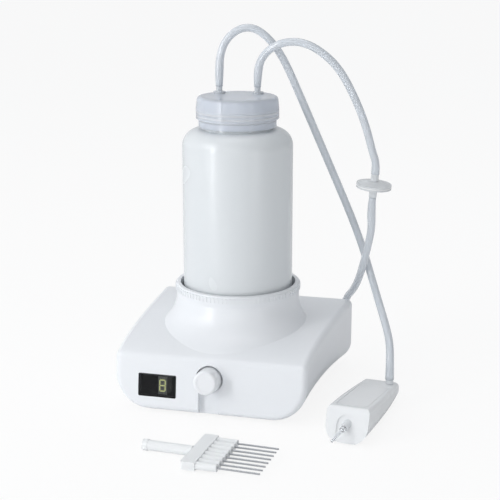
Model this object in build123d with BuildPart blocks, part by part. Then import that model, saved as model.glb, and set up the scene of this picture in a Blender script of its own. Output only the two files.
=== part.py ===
from build123d import *
from math import cos, pi, radians, sin, tan
import os

# Bench-top vacuum aspirator: a low base with a bottle well, a waste bottle with two hose ports,
# an in-line filter, a hand operator and an eight-needle adapter. Lengths are in millimetres.
# Every piece is drawn about the bottle's axis, with the bench at Z = 0 and the front at -Y.

os.makedirs("parts", exist_ok=True)

# Place of the bottle's axis in the finished set, whose origin is the middle of its footprint
BOTTLE_AXIS_X = -26.96
BOTTLE_AXIS_Y = 55.0

# Fits
RUNNING = 0.05
SLIP = 0.3
SEAT_GAP = 0.3

# Base housing: half widths and lower corner radii from the rear wall to the front face
WALL = 2.5
FOOT_HEIGHT = 2.0
REAR_Y = 67.0
REAR_HALF = 87.0
REAR_CORNER = 17.0
WAIST_Y = -14.0
WAIST_HALF = 82.3
WAIST_CORNER = 31.0
FRONT_FOOT_Y = -93.5
FRONT_HALF = 78.2
FRONT_CORNER = 27.0
REAR_TOP = 58.0
MID_TOP = 57.6
SLOPE_Y = -52.0
SLOPE_TOP = 54.2
RIDGE_Z = 46.5
FACE_LEAN = 7.0
EDGE_ROUND = 5.0
RIDGE_ROUND = 5.0
REAR_ROUND = 3.0

# Bottle well and its flared collar
WELL_RADIUS = 48.3
COLLAR_RADIUS = 51.6
COLLAR_TOP = 88.0
COLLAR_STRAIGHT = 10.0
COLLAR_EDGE = 0.8
SEAT_Z = 35.0
WELL_FLOOR = 2.5
PAD_THICK = 3.0
PAD_RADIUS = 44.0
PAD_BORE = 30.0
PAD_EDGE = 0.8
RIB_COUNT = 96
RIB_HEIGHT = 4.0
RIB_DEPTH = 0.5
RIB_WIDTH = 1.5
RIB_DROP = 1.6

# Bottle, cap and ports
BOTTLE_RADIUS = 45.5
BOTTLE_WALL = 1.8
BOTTLE_HEEL = 6.0
BOTTLE_DOME = 3.0
SHOULDER_Z = 203.0
SHOULDER_ROUND = 14.0
NECK_RADIUS = 29.0
NECK_WALL = 2.2
CAP_BOTTOM = 219.2
CAP_TOP = 243.5
CAP_RADIUS = 34.0
CAP_TOP_RADIUS = 32.9
CAP_SKIRT_RADIUS = 31.9
CAP_SKIRT = 6.5
CAP_STEP = 1.5
CAP_STRAIGHT = 8.0
CAP_WALL = 2.4
CAP_ROUND = 3.0
SEAL_THICK = 1.2
INLET_X, INLET_Y = -19.0, 13.0
OUTLET_X, OUTLET_Y = 12.5, 17.0
STEM_RADIUS = 2.5
STEM_BORE = 1.3
STEM_HEIGHT = 4.0
STEM_TAIL = 3.0
FLANGE_RADIUS = 5.0
FLANGE_THICK = 1.5
DIP_LENGTH = 26.0
DIP_WALL = 0.8

# Hoses
HOSE_DIAMETER = 6.4

# In-line filter
FILTER_RADIUS = 14.6
FILTER_HALF = 3.6
FILTER_RIM = 1.5
FILTER_HUB_RADIUS = 6.2
FILTER_HUB = 6.0
FILTER_STEP = 1.2
FILTER_X, FILTER_Y, FILTER_Z = 108.6, 31.0, 168.5
FILTER_LEAN = 0.09
MEMBRANE_THICK = 0.6

# Control knob, its shaft and its pocket in the front face
KNOB_Z = 31.0
KNOB_RADIUS = 10.0
KNOB_PROUD = 13.4
KNOB_GAP = 0.9
KNOB_TRAVEL = 0.5
KNOB_TAPER = 1.5
KNOB_EDGE = 2.2
KNOB_DISH = 0.4
KNOB_DISH_RADIUS = 6.2
KNOB_SOCKET_WALL = 1.6
POCKET_RADIUS = 11.2
CHANNEL_WIDTH = 17.0
CHANNEL_DEPTH = 5.0
SHAFT_RADIUS = 3.0
SHAFT_GRIP = 9.0
ENCODER_SIDE = 12.0
ENCODER_DEPTH = 6.5
BUSH_RADIUS = 3.9
PLUNGER_THICK = 1.2

# Display window in the front face
WINDOW_X = -42.8
WINDOW_Z = 22.6
WINDOW_WIDTH = 31.6
WINDOW_HEIGHT = 18.7
WINDOW_CORNER = 1.2
WINDOW_THICK = 2.0
WINDOW_LEDGE = 1.5
DIGIT_SHIFT = 4.0
DIGIT_WIDTH = 7.4
BOARD_THICK = 1.6
BOARD_WIDTH = 80.0
BOARD_HEIGHT = 30.0

# Pump
PUMP_X, PUMP_Y, PUMP_Z = 6.0, -6.0, 19.8
MOTOR_RADIUS = 12.0
MOTOR_LENGTH = 32.0
MOTOR_ROUND = 1.2
PUMP_SHAFT_RADIUS = 1.5
CASE_LENGTH = 18.0
CASE_SIDE = 24.6
CASE_BORE = 11.0
ROD_SLOT_WIDTH, ROD_SLOT_HEIGHT = 8.0, 6.0
CRANK_THROW = 1.1
CRANK_RADIUS = 6.0
ROD_BORE = 7.6
ROD_RADIUS = 9.6
DIAPHRAGM_THICK = 1.2
DIAPHRAGM_MARGIN = 1.5
HEAD_DEPTH = 14.0
HEAD_CORNER = 3.0
HEAD_PORT_SPREAD = 7.0
CRADLE_THICK = 2.0
CRADLE_FLANGE = 7.0
CRADLE_CORNER = 4.0
MOUNT_SPREAD = 15.0
MOUNT_RADIUS = 3.0

# Rear wall: hose port, power socket and exhaust plug
PORT_X = 77.0
PORT_Z = 27.0
PORT_OUT = 12.0
PORT_RISE = 12.0
PORT_BODY = 4.2
PORT_FLANGE = 1.2
PORT_FLANGE_THICK = 2.0
JACK_X = -62.0
JACK_Z = 26.0
JACK_RADIUS = 5.5
JACK_BORE = 2.85
JACK_DEPTH = 12.0
JACK_FLANGE = 1.2
JACK_LIP = 0.8
JACK_PIN = 1.0
JACK_BACK = 2.0
EXHAUST_X = -38.0
EXHAUST_RADIUS = 4.5
EXHAUST_OUT = 3.0
EXHAUST_ROUND = 1.2

# Base plate, feet and screws
PLATE_THICK = 2.5
PLATE_GAP = 0.3
FOOT_RADIUS = 8.0
FOOT_SINK = 1.0
FOOT_EDGE = 0.6
SCREW_RADIUS = 1.5
SCREW_HEAD = 2.8
SCREW_LENGTH = 12.0
BOSS_RADIUS = 4.5
BOSS_BORE = 1.3

# Hand operator, in its own frame: X runs from its nozzle to its hose, Z is up
HAND_X, HAND_Y, HAND_TURN = 114.0, -118.5, 83.5
HAND_LENGTH = 104.0
HAND_WALL = 2.0
HAND_FRONT_TOP = 27.0
HAND_REAR_TOP = 15.0
HAND_FRONT_LEAN = 9.0
HAND_ROUND = 3.5
LEVER_START = 15.0
LEVER_END = 84.0
LEVER_HALF = 12.0
LEVER_THICK = 2.6
LEVER_CORNER = 4.0
LEVER_GAP = 0.25
LEVER_FRONT_GAP = 0.75
PIVOT_X, PIVOT_Z = 78.0, 12.2
PIN_RADIUS = 1.2
LUG_RADIUS = 2.6
LUG_WIDTH = 4.0
BOSS_START = 12.0
BOSS_DEPTH = 3.0
BOSS_BITE = 2.2
PUMP_HOSE = 5.0
PINCH_HOSE = 4.0
SPRING_WIRE = 0.7
SPRING_GAP = 0.4
SPRING_WIDTH = 6.0
SPRING_LEG = 8.6
SPRING_ARM = 12.0
PINCH_Z = 5.6
ELBOW_Z = 7.2
PINCH_BAR = 30.0
PINCH_GAP = 4.6
PINCH_BAR_THICK = 2.0
NOZZLE_X, NOZZLE_Y, NOZZLE_Z = 4.7, 0.5, 14.0
NOZZLE_RADIUS = 3.2
NOZZLE_IN = 4.0
NOZZLE_OUT = 2.5
NOZZLE_BORE = 1.5
ARCH_WIDTH = 15.0
ARCH_DEPTH = 0.9
TIP_RADIUS = 1.1
TIP_BORE = 0.6
TIP_LENGTH = 17.0
TIP_SPIGOT = 4.0
TIP_HUB = 3.0
TIP_HUB_RADIUS = 2.2
TIP_TURN = 17.6
TIP_DIP = 19.0
INLET_AT, INLET_SIDE = 96.0, -9.0
INLET_TOP = 20.0

# Eight-needle adapter, in its own frame: X runs from its stem to its needles
ADAPTER_X, ADAPTER_Y, ADAPTER_TURN = 20.5, -166.5, -3.9
NEEDLE_COUNT = 8
NEEDLE_PITCH = 6.5
NEEDLE_RADIUS = 0.75
NEEDLE_OUT = 32.0
NEEDLE_IN = 8.0
SLEEVE_RADIUS = 2.9
SLEEVE_LENGTH = 16.0
MANIFOLD_DEPTH = 11.0
MANIFOLD_THICK = 6.4
MANIFOLD_MARGIN = 3.4
MANIFOLD_CORNER = 1.5
STEM_OUT = 39.0
STEM_OUTER = 3.9
STEM_INNER = 1.9
STEM_END = 4.3
STEM_END_LENGTH = 4.0


def face_y(height):
    """Y of the leaning front face at a height above the bench."""
    return FRONT_FOOT_Y + height * tan(radians(FACE_LEAN))


SET = Location((BOTTLE_AXIS_X, BOTTLE_AXIS_Y, 0))
HAND = Location((HAND_X, HAND_Y, 0), (0, 0, HAND_TURN))
ADAPTER = Location((ADAPTER_X, ADAPTER_Y, STEM_END), (0, 0, ADAPTER_TURN))
FACE = Plane(
    origin=(0, face_y(KNOB_Z), KNOB_Z),
    x_dir=(1, 0, 0),
    z_dir=(0, -cos(radians(FACE_LEAN)), sin(radians(FACE_LEAN))),
)
WINDOW_RISE = (WINDOW_Z - KNOB_Z) / cos(radians(FACE_LEAN))
CHANNEL_BACK = -CHANNEL_DEPTH - WALL
PLATE_TOP = FOOT_HEIGHT + PLATE_THICK
BOSS_PLACES = [(-52, 50), (52, 50), (-40, -64), (40, -64)]
FOOT_PLACES = [(-45, 34), (45, 34), (-34, -75), (34, -75)]
PLATE_OUTLINE = [(-62, 58), (62, 58), (44, -20), (48, -84), (-48, -84), (-44, -20)]


def keep(piece, name, place=Location()):
    """Labels a finished piece, moves it to its place in the set and writes it."""
    piece.label = name
    placed = piece.moved(SET * place)
    placed.label = name
    export_step(placed, f"parts/{name}.step")


def base_form(inset):
    """The base's outer form, drawn in by the same inset on every side."""
    sections = [
        (REAR_Y, REAR_HALF, REAR_CORNER),
        (WAIST_Y, WAIST_HALF, WAIST_CORNER),
        (FRONT_FOOT_Y, FRONT_HALF, FRONT_CORNER),
    ]
    low = FOOT_HEIGHT + inset
    with BuildPart() as form:
        for y, half, corner in sections:
            with BuildSketch(Plane.XZ.offset(-y)) as section:
                with BuildLine():
                    Polyline(
                        (inset - half, COLLAR_TOP),
                        (inset - half, low),
                        (half - inset, low),
                        (half - inset, COLLAR_TOP),
                        close=True,
                    )
                make_face()
                fillet(section.vertices().group_by(Axis.Y)[0], corner - inset)
        loft()
        with BuildSketch(Plane.YZ):
            with BuildLine():
                rear = (REAR_Y - inset, REAR_TOP - inset)
                ridge = (face_y(RIDGE_Z) + inset, RIDGE_Z - inset)
                Spline(
                    rear,
                    (0, MID_TOP - inset),
                    (SLOPE_Y, SLOPE_TOP - inset),
                    ridge,
                    tangents=[(-1, 0), (-1, -0.45)],
                )
                Line(ridge, (face_y(0) + inset, 0))
                Line((face_y(0) + inset, 0), (REAR_Y - inset, 0))
                Line((REAR_Y - inset, 0), rear)
            make_face()
        extrude(amount=REAR_HALF * 2, both=True, mode=Mode.INTERSECT)
    return form


def plate_outline(grow):
    """The base plate's outline, which the housing's floor opening repeats."""
    with BuildSketch(Plane.XY.offset(FOOT_HEIGHT)) as outline:
        with BuildLine():
            Polyline(*PLATE_OUTLINE, close=True)
        make_face()
        fillet(outline.vertices(), WALL * 3)
        if grow:
            offset(amount=grow)
    return outline.sketch


def hose(points, diameter, name):
    """A hose along straight runs joined by arcs as large as the runs allow."""
    spots = [Vector(*p) for p in points]
    radii = []
    for before, corner, after in zip(spots, spots[1:], spots[2:]):
        arriving, leaving = corner - before, after - corner
        turn = radians(arriving.get_angle(leaving))
        radii.append(0.45 * min(arriving.length, leaving.length) / tan(turn / 2))
    with BuildPart() as tube:
        with BuildLine() as path:
            FilletPolyline(*spots, radius=radii)
        with BuildSketch(Plane(origin=spots[0], z_dir=spots[1] - spots[0])):
            Circle(diameter / 2)
        sweep()
    length = path.wire().length
    share = tube.part.volume / (length * pi * (diameter / 2) ** 2)
    print(name, "length", round(length), "volume share", round(share, 4))
    print(name, "least radius in diameters", round(min(radii) / diameter, 1))
    return tube.part


# Upper housing
with BuildPart() as housing:
    add(base_form(0).part)
    side_edges = housing.edges().filter_by(
        lambda e: e.center().Z > RIDGE_Z - 8 and abs(e.center().X) > FRONT_HALF - 8 and e.length > 60
    )
    fillet(side_edges, EDGE_ROUND)
    fillet(housing.edges().filter_by(lambda e: e.center().Y < FRONT_FOOT_Y + 9), RIDGE_ROUND)
    fillet(housing.edges().filter_by(lambda e: e.center().Y > REAR_Y - 1), REAR_ROUND)
    # The collar flares into the top, furthest at the front, then stands straight to its rim
    flare = [
        (COLLAR_TOP - COLLAR_STRAIGHT, COLLAR_RADIUS, 0),
        (COLLAR_TOP - 17, COLLAR_RADIUS + 0.6, -1.3),
        (COLLAR_TOP - 24, COLLAR_RADIUS + 3.0, -2.9),
        (COLLAR_TOP - 30, COLLAR_RADIUS + 7.1, -5.3),
        (COLLAR_TOP - 34.5, COLLAR_RADIUS + 11.1, -9.3),
        (COLLAR_TOP - 40, COLLAR_RADIUS + 16.0, -14.5),
    ]
    for height, radius, shift in flare:
        with BuildSketch(Plane((0, shift, height))):
            Circle(radius)
    loft()
    with BuildSketch(Plane.XY.offset(SEAT_Z)):
        Circle(COLLAR_RADIUS)
    extrude(amount=COLLAR_TOP - SEAT_Z)
    fillet(housing.edges().filter_by(GeomType.CIRCLE).sort_by(Axis.Z)[-1], COLLAR_EDGE)

with BuildPart() as hollow:
    add(base_form(WALL).part)
    # What the cavity leaves standing: the well, the bosses and the wall behind the knob's channel
    with BuildSketch(Plane.XY.offset(SEAT_Z - WELL_FLOOR)):
        Circle(WELL_RADIUS + WALL)
    extrude(amount=COLLAR_TOP, mode=Mode.SUBTRACT)
    with BuildSketch(Plane.XY.offset(0)):
        with Locations(*BOSS_PLACES):
            Circle(BOSS_RADIUS)
    extrude(amount=COLLAR_TOP, mode=Mode.SUBTRACT)
    with BuildSketch(FACE.offset(CHANNEL_BACK)):
        with Locations((0, -KNOB_Z / 2)):
            Rectangle(CHANNEL_WIDTH + 2 * WALL, KNOB_Z)
        Circle(POCKET_RADIUS + WALL)
    extrude(amount=KNOB_PROUD, mode=Mode.SUBTRACT)
    with BuildSketch(FACE.offset(-WINDOW_THICK - WINDOW_LEDGE)):
        with Locations((WINDOW_X, WINDOW_RISE)):
            Rectangle(WINDOW_WIDTH + 4 * WALL, WINDOW_HEIGHT + 2 * WALL)
    extrude(amount=KNOB_PROUD, mode=Mode.SUBTRACT)

with BuildPart() as upper_housing:
    add(housing.part)
    add(hollow.part, mode=Mode.SUBTRACT)
    with BuildSketch(Plane.XY.offset(SEAT_Z)):
        Circle(WELL_RADIUS)
    extrude(amount=COLLAR_TOP, mode=Mode.SUBTRACT)
    # Opening for the base plate, with the bosses standing down to it
    add(extrude(plate_outline(PLATE_GAP), amount=PLATE_THICK, mode=Mode.PRIVATE), mode=Mode.SUBTRACT)
    with BuildSketch(Plane.XY):
        with Locations(*BOSS_PLACES):
            Circle(BOSS_RADIUS + SLIP)
    extrude(amount=PLATE_TOP, mode=Mode.SUBTRACT)
    with BuildSketch(Plane.XY.offset(PLATE_TOP)):
        with Locations(*BOSS_PLACES):
            Circle(BOSS_BORE)
    extrude(amount=SCREW_LENGTH, mode=Mode.SUBTRACT)
    # Knob pocket and the open channel that runs down from it
    with BuildSketch(FACE.offset(-CHANNEL_DEPTH)):
        with Locations((0, -KNOB_Z)):
            Rectangle(CHANNEL_WIDTH, 2 * KNOB_Z)
        Circle(POCKET_RADIUS)
    extrude(amount=2 * KNOB_PROUD, mode=Mode.SUBTRACT)
    with BuildSketch(FACE.offset(CHANNEL_BACK - 1)):
        Circle(BUSH_RADIUS + SLIP)
    extrude(amount=CHANNEL_DEPTH, mode=Mode.SUBTRACT)
    # Window seat, and the smaller opening behind it
    with BuildSketch(FACE.offset(-WINDOW_THICK)):
        with Locations((WINDOW_X, WINDOW_RISE)):
            RectangleRounded(WINDOW_WIDTH, WINDOW_HEIGHT, WINDOW_CORNER)
    extrude(amount=KNOB_PROUD, mode=Mode.SUBTRACT)
    with BuildSketch(FACE.offset(-WINDOW_THICK - 2 * WALL)):
        with Locations((WINDOW_X, WINDOW_RISE)):
            Rectangle(WINDOW_WIDTH - 2 * WINDOW_LEDGE, WINDOW_HEIGHT - 2 * WINDOW_LEDGE)
    extrude(amount=4 * WALL, mode=Mode.SUBTRACT)
    # Rear wall holes for the hose port, the power socket and the exhaust plug
    with BuildSketch(Plane.XZ.offset(-REAR_Y - 1)):
        with Locations((PORT_X, PORT_Z)):
            Circle(STEM_RADIUS + 1)
        with Locations((JACK_X, JACK_Z)):
            Circle(JACK_RADIUS)
        with Locations((EXHAUST_X, JACK_Z)):
            Circle(EXHAUST_RADIUS)
    extrude(amount=2 * WALL, mode=Mode.SUBTRACT)
keep(upper_housing.part, "upper_housing")

# Ring of fine grip ribs round the collar, just below its rim
with BuildPart() as grip_ring:
    with BuildSketch(Plane.XY.offset(COLLAR_TOP - RIB_DROP - RIB_HEIGHT)):
        Circle(COLLAR_RADIUS + RIB_DEPTH)
        with PolarLocations(COLLAR_RADIUS + RIB_DEPTH, RIB_COUNT):
            Rectangle(RIB_DEPTH * 2, RIB_WIDTH)
        Circle(COLLAR_RADIUS, mode=Mode.SUBTRACT)
    extrude(amount=RIB_HEIGHT)
keep(grip_ring.part, "grip_ring")

# Soft pad that the bottle stands on
with BuildPart() as bottle_pad:
    with BuildSketch(Plane.XY.offset(SEAT_Z)):
        Circle(PAD_RADIUS)
        Circle(PAD_BORE, mode=Mode.SUBTRACT)
    extrude(amount=PAD_THICK)
    fillet(bottle_pad.edges().filter_by(GeomType.CIRCLE).group_by(Axis.Z)[-1], PAD_EDGE)
keep(bottle_pad.part, "bottle_pad")

# Base plate with four screw holes and four foot recesses
with BuildPart() as base_plate:
    extrude(plate_outline(0), amount=PLATE_THICK)
    with Locations(*[Location((x, y, FOOT_HEIGHT), (180, 0, 0)) for x, y in BOSS_PLACES]):
        CounterBoreHole(SCREW_RADIUS + SLIP, SCREW_HEAD + SLIP, PLATE_THICK / 2, PLATE_THICK)
    with BuildSketch(Plane.XY.offset(FOOT_HEIGHT)):
        with Locations(*FOOT_PLACES):
            Circle(FOOT_RADIUS)
    extrude(amount=FOOT_SINK, mode=Mode.SUBTRACT)
keep(base_plate.part, "base_plate")

with BuildPart() as rubber_feet:
    with BuildSketch(Plane.XY):
        with Locations(*FOOT_PLACES):
            Circle(FOOT_RADIUS)
    extrude(amount=FOOT_HEIGHT + FOOT_SINK)
    fillet(rubber_feet.edges().filter_by(GeomType.CIRCLE).group_by(Axis.Z)[0], FOOT_EDGE)
keep(rubber_feet.part, "rubber_feet")

with BuildPart() as base_screws:
    head_z = FOOT_HEIGHT + PLATE_THICK / 2
    with BuildSketch(Plane.XY.offset(head_z)):
        with Locations(*BOSS_PLACES):
            Circle(BOSS_BORE)
    extrude(amount=SCREW_LENGTH)
    with BuildSketch(Plane.XY.offset(head_z)):
        with Locations(*BOSS_PLACES):
            Circle(SCREW_HEAD)
    extrude(amount=-PLATE_THICK / 2 + 0.2)
keep(base_screws.part, "base_screws")

# Display window and the lit digit behind it
with BuildPart() as display_window:
    with BuildSketch(FACE.offset(-WINDOW_THICK)):
        with Locations((WINDOW_X, WINDOW_RISE)):
            RectangleRounded(WINDOW_WIDTH - 0.1, WINDOW_HEIGHT - 0.1, WINDOW_CORNER)
    extrude(amount=WINDOW_THICK)
keep(display_window.part, "display_window")

BOARD_FRONT = CHANNEL_BACK - SEAT_GAP - ENCODER_DEPTH
with BuildPart() as display_module:
    with BuildSketch(FACE.offset(BOARD_FRONT)):
        with Locations((WINDOW_X + DIGIT_SHIFT, WINDOW_RISE)):
            Rectangle(DIGIT_WIDTH, WINDOW_HEIGHT - 2 * WINDOW_LEDGE - 1)
    extrude(amount=-WINDOW_THICK - BOARD_FRONT)
keep(display_module.part, "display_module")

with BuildPart() as front_board:
    with BuildSketch(FACE.offset(BOARD_FRONT - BOARD_THICK)):
        with Locations((-BOARD_WIDTH / 2 + ENCODER_SIDE * 1.5, -4)):
            Rectangle(BOARD_WIDTH, BOARD_HEIGHT)
    extrude(amount=BOARD_THICK)
keep(front_board.part, "front_board")

# Rotary control: switch body, plunger, shaft and knob along the knob's axis
ENCODER_FRONT = CHANNEL_BACK - SEAT_GAP
PLUNGER_BACK = BOARD_FRONT + 1 + KNOB_TRAVEL
with BuildPart() as encoder_body:
    with BuildSketch(FACE.offset(BOARD_FRONT)):
        Rectangle(ENCODER_SIDE, ENCODER_SIDE)
    extrude(amount=ENCODER_DEPTH)
    with BuildSketch(FACE.offset(ENCODER_FRONT)):
        Circle(BUSH_RADIUS)
    extrude(amount=WALL)
    with BuildSketch(FACE.offset(BOARD_FRONT + 1)):
        Circle(SHAFT_RADIUS + RUNNING)
    extrude(amount=ENCODER_DEPTH + WALL, mode=Mode.SUBTRACT)
keep(encoder_body.part, "encoder_body")

with BuildPart() as encoder_plunger:
    with BuildSketch(FACE.offset(PLUNGER_BACK)):
        Circle(SHAFT_RADIUS - 0.4)
    extrude(amount=PLUNGER_THICK)
keep(encoder_plunger.part, "encoder_plunger")

KNOB_BACK = -CHANNEL_DEPTH + KNOB_GAP
with BuildPart() as encoder_shaft:
    shaft_start = PLUNGER_BACK + PLUNGER_THICK + RUNNING
    shaft_end = KNOB_BACK + SHAFT_GRIP
    with BuildSketch(FACE.offset(shaft_start)):
        Circle(SHAFT_RADIUS)
    extrude(amount=shaft_end - shaft_start)
keep(encoder_shaft.part, "encoder_shaft")

with BuildPart() as control_knob:
    with BuildSketch(FACE.offset(KNOB_BACK)):
        Circle(KNOB_RADIUS)
    extrude(amount=KNOB_PROUD - KNOB_BACK, taper=KNOB_TAPER)
    front_rim = control_knob.edges().filter_by(GeomType.CIRCLE).sort_by(Axis.Y)[0]
    fillet(front_rim, KNOB_EDGE)
    with BuildSketch(FACE.offset(KNOB_PROUD - KNOB_DISH)):
        Circle(KNOB_DISH_RADIUS)
    extrude(amount=2, mode=Mode.SUBTRACT)
    with BuildSketch(FACE.offset(KNOB_BACK)):
        Circle(SHAFT_RADIUS)
    extrude(amount=SHAFT_GRIP, mode=Mode.SUBTRACT)
    with BuildSketch(FACE.offset(KNOB_BACK)):
        Circle(KNOB_RADIUS - WALL / 2)
        Circle(SHAFT_RADIUS + KNOB_SOCKET_WALL, mode=Mode.SUBTRACT)
    extrude(amount=SHAFT_GRIP + 2, mode=Mode.SUBTRACT)
keep(control_knob.part, "control_knob")

# Diaphragm pump, lying below the well with its shaft along X
CASE_LEFT = Plane.YZ.offset(PUMP_X - CASE_LENGTH / 2)
with BuildPart() as pump_motor:
    with BuildSketch(CASE_LEFT.offset(-MOTOR_LENGTH)):
        with Locations((PUMP_Y, PUMP_Z)):
            Circle(MOTOR_RADIUS)
    extrude(amount=MOTOR_LENGTH)
    motor_rims = pump_motor.edges().filter_by(GeomType.CIRCLE)
    fillet(motor_rims, MOTOR_ROUND)
    with BuildSketch(CASE_LEFT.offset(-MOTOR_LENGTH)):
        with Locations((PUMP_Y, PUMP_Z)):
            Circle(PUMP_SHAFT_RADIUS + RUNNING)
    extrude(amount=MOTOR_LENGTH + 1, mode=Mode.SUBTRACT)
keep(pump_motor.part, "pump_motor")

with BuildPart() as pump_case:
    with BuildSketch(CASE_LEFT):
        with Locations((PUMP_Y, PUMP_Z)):
            Rectangle(CASE_SIDE, CASE_SIDE)
            Circle(CASE_BORE, mode=Mode.SUBTRACT)
    extrude(amount=CASE_LENGTH)
    with BuildSketch(Plane.XZ.offset(-(PUMP_Y + CASE_SIDE / 2 + 1))):
        with Locations((PUMP_X, PUMP_Z)):
            Rectangle(ROD_SLOT_WIDTH, ROD_SLOT_HEIGHT)
    extrude(amount=6, mode=Mode.SUBTRACT)
keep(pump_case.part, "pump_case")

with BuildPart() as pump_shaft:
    with BuildSketch(CASE_LEFT.offset(-MOTOR_LENGTH + 2)):
        with Locations((PUMP_Y, PUMP_Z)):
            Circle(PUMP_SHAFT_RADIUS)
    extrude(amount=MOTOR_LENGTH - 2 + CASE_LENGTH * 0.75)
    with BuildSketch(CASE_LEFT.offset(CASE_LENGTH * 0.4)):
        with Locations((PUMP_Y + CRANK_THROW, PUMP_Z)):
            Circle(CRANK_RADIUS)
    extrude(amount=CASE_LENGTH * 0.3)
    with BuildSketch(CASE_LEFT.offset(CASE_LENGTH * 0.1)):
        with Locations((PUMP_Y - CRANK_THROW, PUMP_Z)):
            Circle(CRANK_RADIUS)
    extrude(amount=CASE_LENGTH * 0.2)
keep(pump_shaft.part, "pump_shaft")

HEAD_FRONT = PUMP_Y + CASE_SIDE / 2
with BuildPart() as connecting_rod:
    with BuildSketch(CASE_LEFT.offset(CASE_LENGTH * 0.42)):
        with Locations((PUMP_Y, PUMP_Z)):
            Circle(ROD_RADIUS)
            Circle(ROD_BORE, mode=Mode.SUBTRACT)
        with Locations((PUMP_Y + (ROD_BORE + CASE_SIDE / 2) / 2 + 0.5, PUMP_Z)):
            Rectangle(CASE_SIDE / 2 - ROD_BORE - 1, 4)
    extrude(amount=CASE_LENGTH * 0.26)
keep(connecting_rod.part, "connecting_rod")

with BuildPart() as diaphragm:
    with BuildSketch(Plane.XZ.offset(-HEAD_FRONT)):
        with Locations((PUMP_X, PUMP_Z)):
            Circle(CASE_SIDE / 2 - DIAPHRAGM_MARGIN)
    extrude(amount=-DIAPHRAGM_THICK)
keep(diaphragm.part, "diaphragm")

HEAD_BACK = HEAD_FRONT + DIAPHRAGM_THICK + HEAD_DEPTH
with BuildPart() as pump_head:
    with BuildSketch(Plane.XZ.offset(-HEAD_FRONT - DIAPHRAGM_THICK)):
        with Locations((PUMP_X, PUMP_Z)):
            RectangleRounded(CASE_SIDE, CASE_SIDE, HEAD_CORNER)
    extrude(amount=-HEAD_DEPTH)
    with BuildSketch(Plane.XZ.offset(-HEAD_BACK)):
        with Locations((PUMP_X + HEAD_PORT_SPREAD, PUMP_Z), (PUMP_X - HEAD_PORT_SPREAD, PUMP_Z)):
            Circle(STEM_RADIUS)
    extrude(amount=-STEM_HEIGHT)
keep(pump_head.part, "pump_head")

# Cradle on four rubber mounts, which carries the motor and the pump case
MOUNT_PLACES = [
    (PUMP_X + CASE_LENGTH / 2 + 4, PUMP_Y - MOUNT_SPREAD),
    (PUMP_X + CASE_LENGTH / 2 + 4, PUMP_Y + MOUNT_SPREAD),
    (PUMP_X - CASE_LENGTH / 2 - MOTOR_LENGTH - 2, PUMP_Y - MOUNT_SPREAD),
    (PUMP_X - CASE_LENGTH / 2 - MOTOR_LENGTH - 2, PUMP_Y + MOUNT_SPREAD),
]
with BuildPart() as pump_cradle:
    cradle_length = CASE_LENGTH + MOTOR_LENGTH + 16
    cradle_mid = PUMP_X - MOTOR_LENGTH / 2
    with BuildSketch(Plane.XY.offset(PUMP_Z - CASE_SIDE / 2 - CRADLE_THICK)):
        with Locations((cradle_mid + 1, PUMP_Y)):
            RectangleRounded(cradle_length, CASE_SIDE + 2 * CRADLE_FLANGE, CRADLE_CORNER)
        with Locations(*MOUNT_PLACES):
            Circle(MOUNT_RADIUS - 1, mode=Mode.SUBTRACT)
    extrude(amount=CRADLE_THICK)
    # Saddle below the motor
    with BuildSketch(CASE_LEFT.offset(-MOTOR_LENGTH * 0.75)):
        with Locations((PUMP_Y, PUMP_Z - CASE_SIDE / 2 + 3)):
            Rectangle(CASE_SIDE, 6)
        with Locations((PUMP_Y, PUMP_Z)):
            Circle(MOTOR_RADIUS, mode=Mode.SUBTRACT)
    extrude(amount=MOTOR_LENGTH * 0.5)
keep(pump_cradle.part, "pump_cradle")

with BuildPart() as pump_mounts:
    cradle_low = PUMP_Z - CASE_SIDE / 2 - CRADLE_THICK
    with BuildSketch(Plane.XY.offset(PLATE_TOP)):
        with Locations(*MOUNT_PLACES):
            Circle(MOUNT_RADIUS)
    extrude(amount=cradle_low - PLATE_TOP)
    with BuildSketch(Plane.XY.offset(PLATE_TOP)):
        with Locations(*MOUNT_PLACES):
            Circle(MOUNT_RADIUS - 1)
    extrude(amount=cradle_low - PLATE_TOP + CRADLE_THICK)
keep(pump_mounts.part, "pump_mounts")

# Hose port: an elbow on the rear wall whose barb stands up behind the base
PORT_Y = REAR_Y + PORT_OUT
with BuildPart() as vacuum_port:
    with BuildSketch(Plane.XZ.offset(-REAR_Y)):
        with Locations((PORT_X, PORT_Z)):
            Circle(PORT_BODY + PORT_FLANGE)
    extrude(amount=-PORT_FLANGE_THICK)
    with BuildSketch(Plane.XZ.offset(-REAR_Y)):
        with Locations((PORT_X, PORT_Z)):
            Circle(PORT_BODY)
    extrude(amount=-PORT_OUT)
    with Locations((PORT_X, PORT_Y, PORT_Z)):
        Sphere(PORT_BODY)
    with BuildSketch(Plane.XY.offset(PORT_Z)):
        with Locations((PORT_X, PORT_Y)):
            Circle(HOSE_DIAMETER / 2)
    extrude(amount=PORT_RISE)
    with BuildSketch(Plane.XZ.offset(-REAR_Y + WALL + STEM_HEIGHT)):
        with Locations((PORT_X, PORT_Z)):
            Circle(STEM_RADIUS)
    extrude(amount=-WALL - STEM_HEIGHT)
keep(vacuum_port.part, "vacuum_port")

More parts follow.
